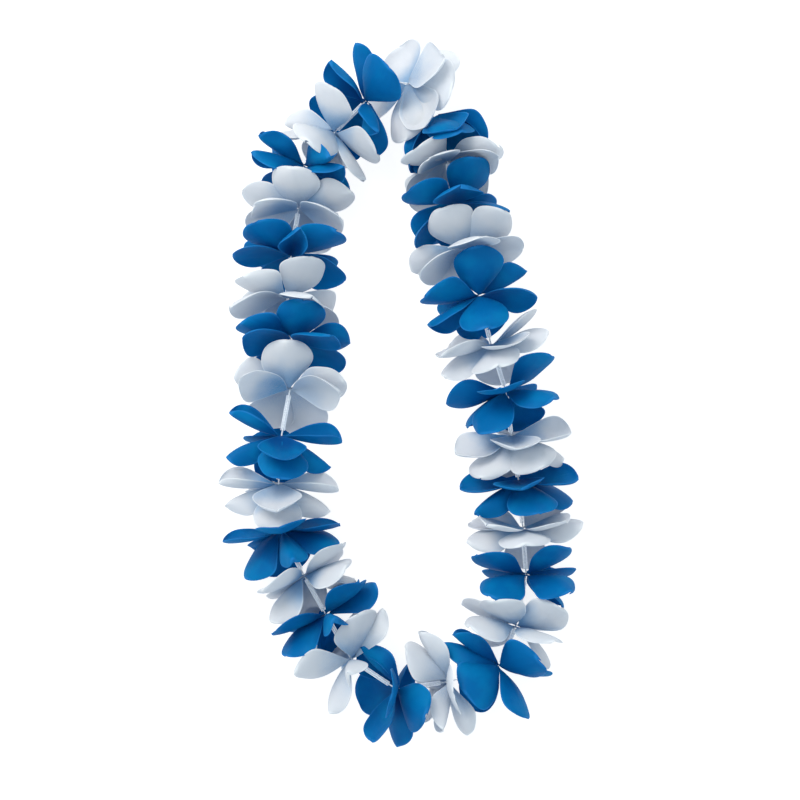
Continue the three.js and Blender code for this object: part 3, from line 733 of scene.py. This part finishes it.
def add_node(tree, kind, settings=(), values=(), links=()):
    """A node with its settings, its socket values, and links that come into its sockets."""
    node = tree.nodes.new(f"ShaderNode{kind}")
    for name, value in dict(settings).items():
        setattr(node, name, value)
    for socket, value in dict(values).items():
        node.inputs[socket].default_value = value
    for socket, source in dict(links).items():
        tree.links.new(source, node.inputs[socket])
    return node


def maths(tree, operation, first, second=None, third=None):
    """The result of a sum on numbers or on other nodes' outputs."""
    node = add_node(tree, "Math", {"operation": operation})
    for socket, value in zip(node.inputs, (first, second, third)):
        if isinstance(value, (int, float)):
            socket.default_value = value
        elif value is not None:
            tree.links.new(value, socket)
    return node.outputs[0]


def stepped(tree, value, ends, results=(0.0, 1.0)):
    """A smooth step of a value from one end to the other, between two results."""
    node = add_node(tree, "MapRange", {"interpolation_type": "SMOOTHSTEP"},
                    {1: ends[0], 2: ends[1], 3: results[0], 4: results[1]}, {0: value})
    return node.outputs[0]


def mixed_colour(tree, factor, first, second):
    """From the first colour to the second as the factor goes from zero to one."""
    node = add_node(tree, "Mix", {"data_type": "RGBA"}, {}, {0: factor})
    for socket, value in ((node.inputs[6], first), (node.inputs[7], second)):
        if isinstance(value, tuple):
            socket.default_value = (*value, 1)
        else:
            tree.links.new(value, socket)
    return node.outputs[2]


def attribute(tree, name):
    """A number that is kept with each of the mesh's points."""
    return add_node(tree, "Attribute", {"attribute_name": name}).outputs["Fac"]


def cloth_bump(tree):
    """Fine threads both ways, under slow creases that run from the root to the tip."""
    flat = add_node(tree, "UVMap", {"uv_map": "cloth"}).outputs[0]
    heights = []
    for direction in ("X", "Y"):
        threads = add_node(tree, "TexWave", {"bands_direction": direction},
                           {"Scale": FLAT_SPAN / WEAVE_PITCH / WAVE_TEXTURE_BANDS,
                            "Distortion": WEAVE_WANDER}, {"Vector": flat})
        heights.append(threads.outputs["Fac"])
    weave = maths(tree, "MULTIPLY", heights[0], heights[1])
    stretched = add_node(tree, "Mapping", {}, {"Scale": CREASE_STRETCH}, {"Vector": flat})
    creases = add_node(tree, "TexNoise", {"noise_dimensions": "4D"},
                       {"Scale": 1.0, "Detail": CREASE_DETAIL},
                       {"Vector": stretched.outputs[0], "W": attribute(tree, "petal")})
    fine = add_node(tree, "Bump", {}, {"Strength": WEAVE_STRENGTH, "Distance": WEAVE_DEPTH * MM},
                    {"Height": weave})
    slow = add_node(tree, "Bump", {}, {"Strength": CREASE_STRENGTH, "Distance": CREASE_DEPTH * MM},
                    {"Height": creases.outputs[0], "Normal": fine.outputs[0]})
    return slow.outputs[0]


def painted_hub_shade(tree, mottle):
    """How far the painted shade reaches: most near the hub, and more on some petals."""
    reach = maths(tree, "MULTIPLY_ADD", mottle, PAINTED_SHADE_MOTTLE, attribute(tree, "share"))
    near_hub = stepped(tree, reach, PAINTED_SHADE_FADES, (1.0, 0.0))
    chance = add_node(tree, "TexWhiteNoise", {"noise_dimensions": "1D"}, {},
                      {"W": attribute(tree, "petal")}).outputs["Value"]
    strength = stepped(tree, chance, (0.0, 1.0), PAINTED_SHADE_STRENGTHS)
    return maths(tree, "MULTIPLY", near_hub, strength)


def painted_rim_highlight(tree):
    """How strongly the painted highlight shows along the sealed rim."""
    side = maths(tree, "ABSOLUTE", attribute(tree, "side"))
    outline = maths(tree, "MAXIMUM", side, attribute(tree, "share"))
    return maths(tree, "MULTIPLY", stepped(tree, outline, RIM_HIGHLIGHT_FADES), RIM_HIGHLIGHT_STRENGTH)


def cloth_material(name, dye):
    """Dyed satin: painted shade near the hub, a painted highlight along the sealed rim, and light
    that comes through.
    """
    material, tree, output = new_material(name)
    place = add_node(tree, "TexCoord").outputs["Object"]
    mottle = add_node(tree, "TexNoise", {}, {"Scale": MOTTLE_SCALE, "Detail": MOTTLE_DETAIL},
                      {"Vector": place}).outputs[0]
    # Painted shade near the hub, darker on the blue and bluer on the white, stands in for the shade
    # among the petals and the blue light bled through the white cloth.
    hub_shade_share = painted_hub_shade(tree, mottle)
    patch = maths(tree, "MULTIPLY", stepped(tree, mottle, PATCH_FADES), PATCH_STRENGTH)
    colour = mixed_colour(tree, patch, dye.main, dye.light)
    colour = mixed_colour(tree, hub_shade_share, colour, dye.painted_shade)
    # A painted highlight: a lighter line along the sealed rim.
    colour = mixed_colour(tree, painted_rim_highlight(tree), colour, dye.rim)
    rough = stepped(tree, mottle, MOTTLE_RANGE, CLOTH_ROUGHNESS)
    bump = cloth_bump(tree)
    front = add_node(tree, "BsdfPrincipled", {},
                     {"Sheen Weight": CLOTH_SHEEN, "Sheen Roughness": CLOTH_SHEEN_ROUGHNESS,
                      "Sheen Tint": (*dye.sheen, 1), "Specular IOR Level": CLOTH_SPECULAR,
                      "Alpha": dye.opacity},
                     {"Base Color": colour, "Roughness": rough, "Normal": bump})
    # The light that comes through takes on the same painted shade near the hub.
    glow = mixed_colour(tree, hub_shade_share, dye.through, dye.painted_shade)
    back = add_node(tree, "BsdfTranslucent", {}, {}, {"Color": glow, "Normal": bump})
    mix = add_node(tree, "MixShader", {}, {0: dye.share_through},
                   {1: front.outputs[0], 2: back.outputs[0]})
    tree.links.new(mix.outputs[0], output.inputs[0])
    return material


def tube_material():
    """Thin clear plastic: nearly unseen face on, bright and cloudy along its edges, where its
    painted glow shows most.
    """
    material, tree, output = new_material("clear_tube")
    place = add_node(tree, "TexCoord").outputs["Object"]
    haze = add_node(tree, "TexNoise", {}, {"Scale": TUBE_HAZE_SCALE, "Detail": TUBE_HAZE_DETAIL},
                    {"Vector": place})
    rough = stepped(tree, haze.outputs[0], TUBE_HAZE_RANGE, TUBE_ROUGHNESS)
    edge = add_node(tree, "LayerWeight", {}, {"Blend": TUBE_EDGE_BLEND}).outputs["Facing"]
    cloud = stepped(tree, edge, TUBE_EDGE_RANGE, TUBE_OPACITY)
    # Its emission is a painted glow; the tube is no lamp.
    shader = add_node(tree, "BsdfPrincipled", {},
                      {"Base Color": (*TUBE_COLOUR, 1), "IOR": TUBE_IOR,
                       "Specular IOR Level": TUBE_SPECULAR,
                       "Emission Color": (*TUBE_PAINTED_GLOW_COLOUR, 1), "Emission Strength": TUBE_PAINTED_GLOW},
                      {"Roughness": rough, "Alpha": cloud})
    tree.links.new(shader.outputs[0], output.inputs[0])
    return material


def thread_material():
    """White cotton thread with its twist."""
    material, tree, output = new_material("thread")
    place = add_node(tree, "TexCoord").outputs["Object"]
    twist = add_node(tree, "TexWave", {"bands_direction": "DIAGONAL"},
                     {"Scale": THREAD_TWIST_SCALE, "Distortion": THREAD_TWIST_WANDER},
                     {"Vector": place}).outputs["Fac"]
    colour = mixed_colour(tree, twist, THREAD_SHADE, THREAD_COLOUR)
    bump = add_node(tree, "Bump", {},
                    {"Strength": THREAD_TWIST_STRENGTH, "Distance": THREAD_TWIST_DEPTH * MM},
                    {"Height": twist})
    shader = add_node(tree, "BsdfPrincipled", {}, {"Roughness": THREAD_ROUGHNESS},
                      {"Base Color": colour, "Normal": bump.outputs[0]})
    tree.links.new(shader.outputs[0], output.inputs[0])
    return material


def make_materials():
    """Each slot's material."""
    return {
        "blue_fabric": cloth_material("blue_fabric", BLUE),
        "white_fabric": cloth_material("white_fabric", WHITE),
        "clear_tube": tube_material(),
        "thread": thread_material(),
    }


def add_floor():
    """The paper that the lei lies on."""
    half = FLOOR_SIZE / 2 * MM
    mesh = bpy.data.meshes.new("floor")
    mesh.from_pydata([(-half, -half, 0), (half, -half, 0), (half, half, 0), (-half, half, 0)], [],
                     [(0, 1, 2, 3)])
    floor = bpy.data.objects.new("floor", mesh)
    bpy.context.scene.collection.objects.link(floor)
    material, tree, output = new_material("floor_paper")
    shader = add_node(tree, "BsdfPrincipled", {},
                      {"Base Color": (*FLOOR_COLOUR, 1), "Roughness": FLOOR_ROUGHNESS,
                       "Specular IOR Level": FLOOR_SPECULAR,
                       "Emission Color": (*FLOOR_GLOW_COLOUR, 1), "Emission Strength": FLOOR_GLOW})
    tree.links.new(shader.outputs[0], output.inputs[0])
    mesh.materials.append(material)


def add_key_light():
    """One broad lamp, turned to the middle of the lei."""
    light = bpy.data.lights.new("key", "AREA")
    light.shape = "DISK"
    light.size = KEY_SIZE * MM
    light.energy = KEY_POWER
    light.color = KEY_COLOUR
    lamp = bpy.data.objects.new("key", light)
    bpy.context.scene.collection.objects.link(lamp)
    lamp.location = [value * MM for value in KEY_PLACE]
    lamp.rotation_euler = (-lamp.location).to_track_quat("-Z", "Y").to_euler()


def add_sky():
    """Even light from all round."""
    world = bpy.data.worlds.new("studio")
    bpy.context.scene.world = world
    world.use_nodes = True
    background = world.node_tree.nodes["Background"]
    background.inputs["Color"].default_value = (*SKY_COLOUR, 1)
    background.inputs["Strength"].default_value = SKY_STRENGTH


def add_camera(shift):
    """A long lens, straight above the loop."""
    data = bpy.data.cameras.new("camera")
    data.sensor_width = SENSOR_WIDTH
    data.lens = SENSOR_WIDTH * CAMERA_HEIGHT / VIEW_WIDTH
    camera = bpy.data.objects.new("camera", data)
    bpy.context.scene.collection.objects.link(camera)
    place = (shift[0], shift[1], CAMERA_HEIGHT + THREAD_HEIGHT)
    camera.location = [value * MM for value in place]
    bpy.context.scene.camera = camera


shift = origin_shift()
petals = lay_petals()
settle(petals)
materials = make_materials()
add_camera(shift)
add_thread(shift, materials)
add_spacers(shift, materials)
add_blooms(petals, shift, materials)
add_floor()
add_key_light()
add_sky()
bpy.context.scene.view_settings.view_transform = "Standard"
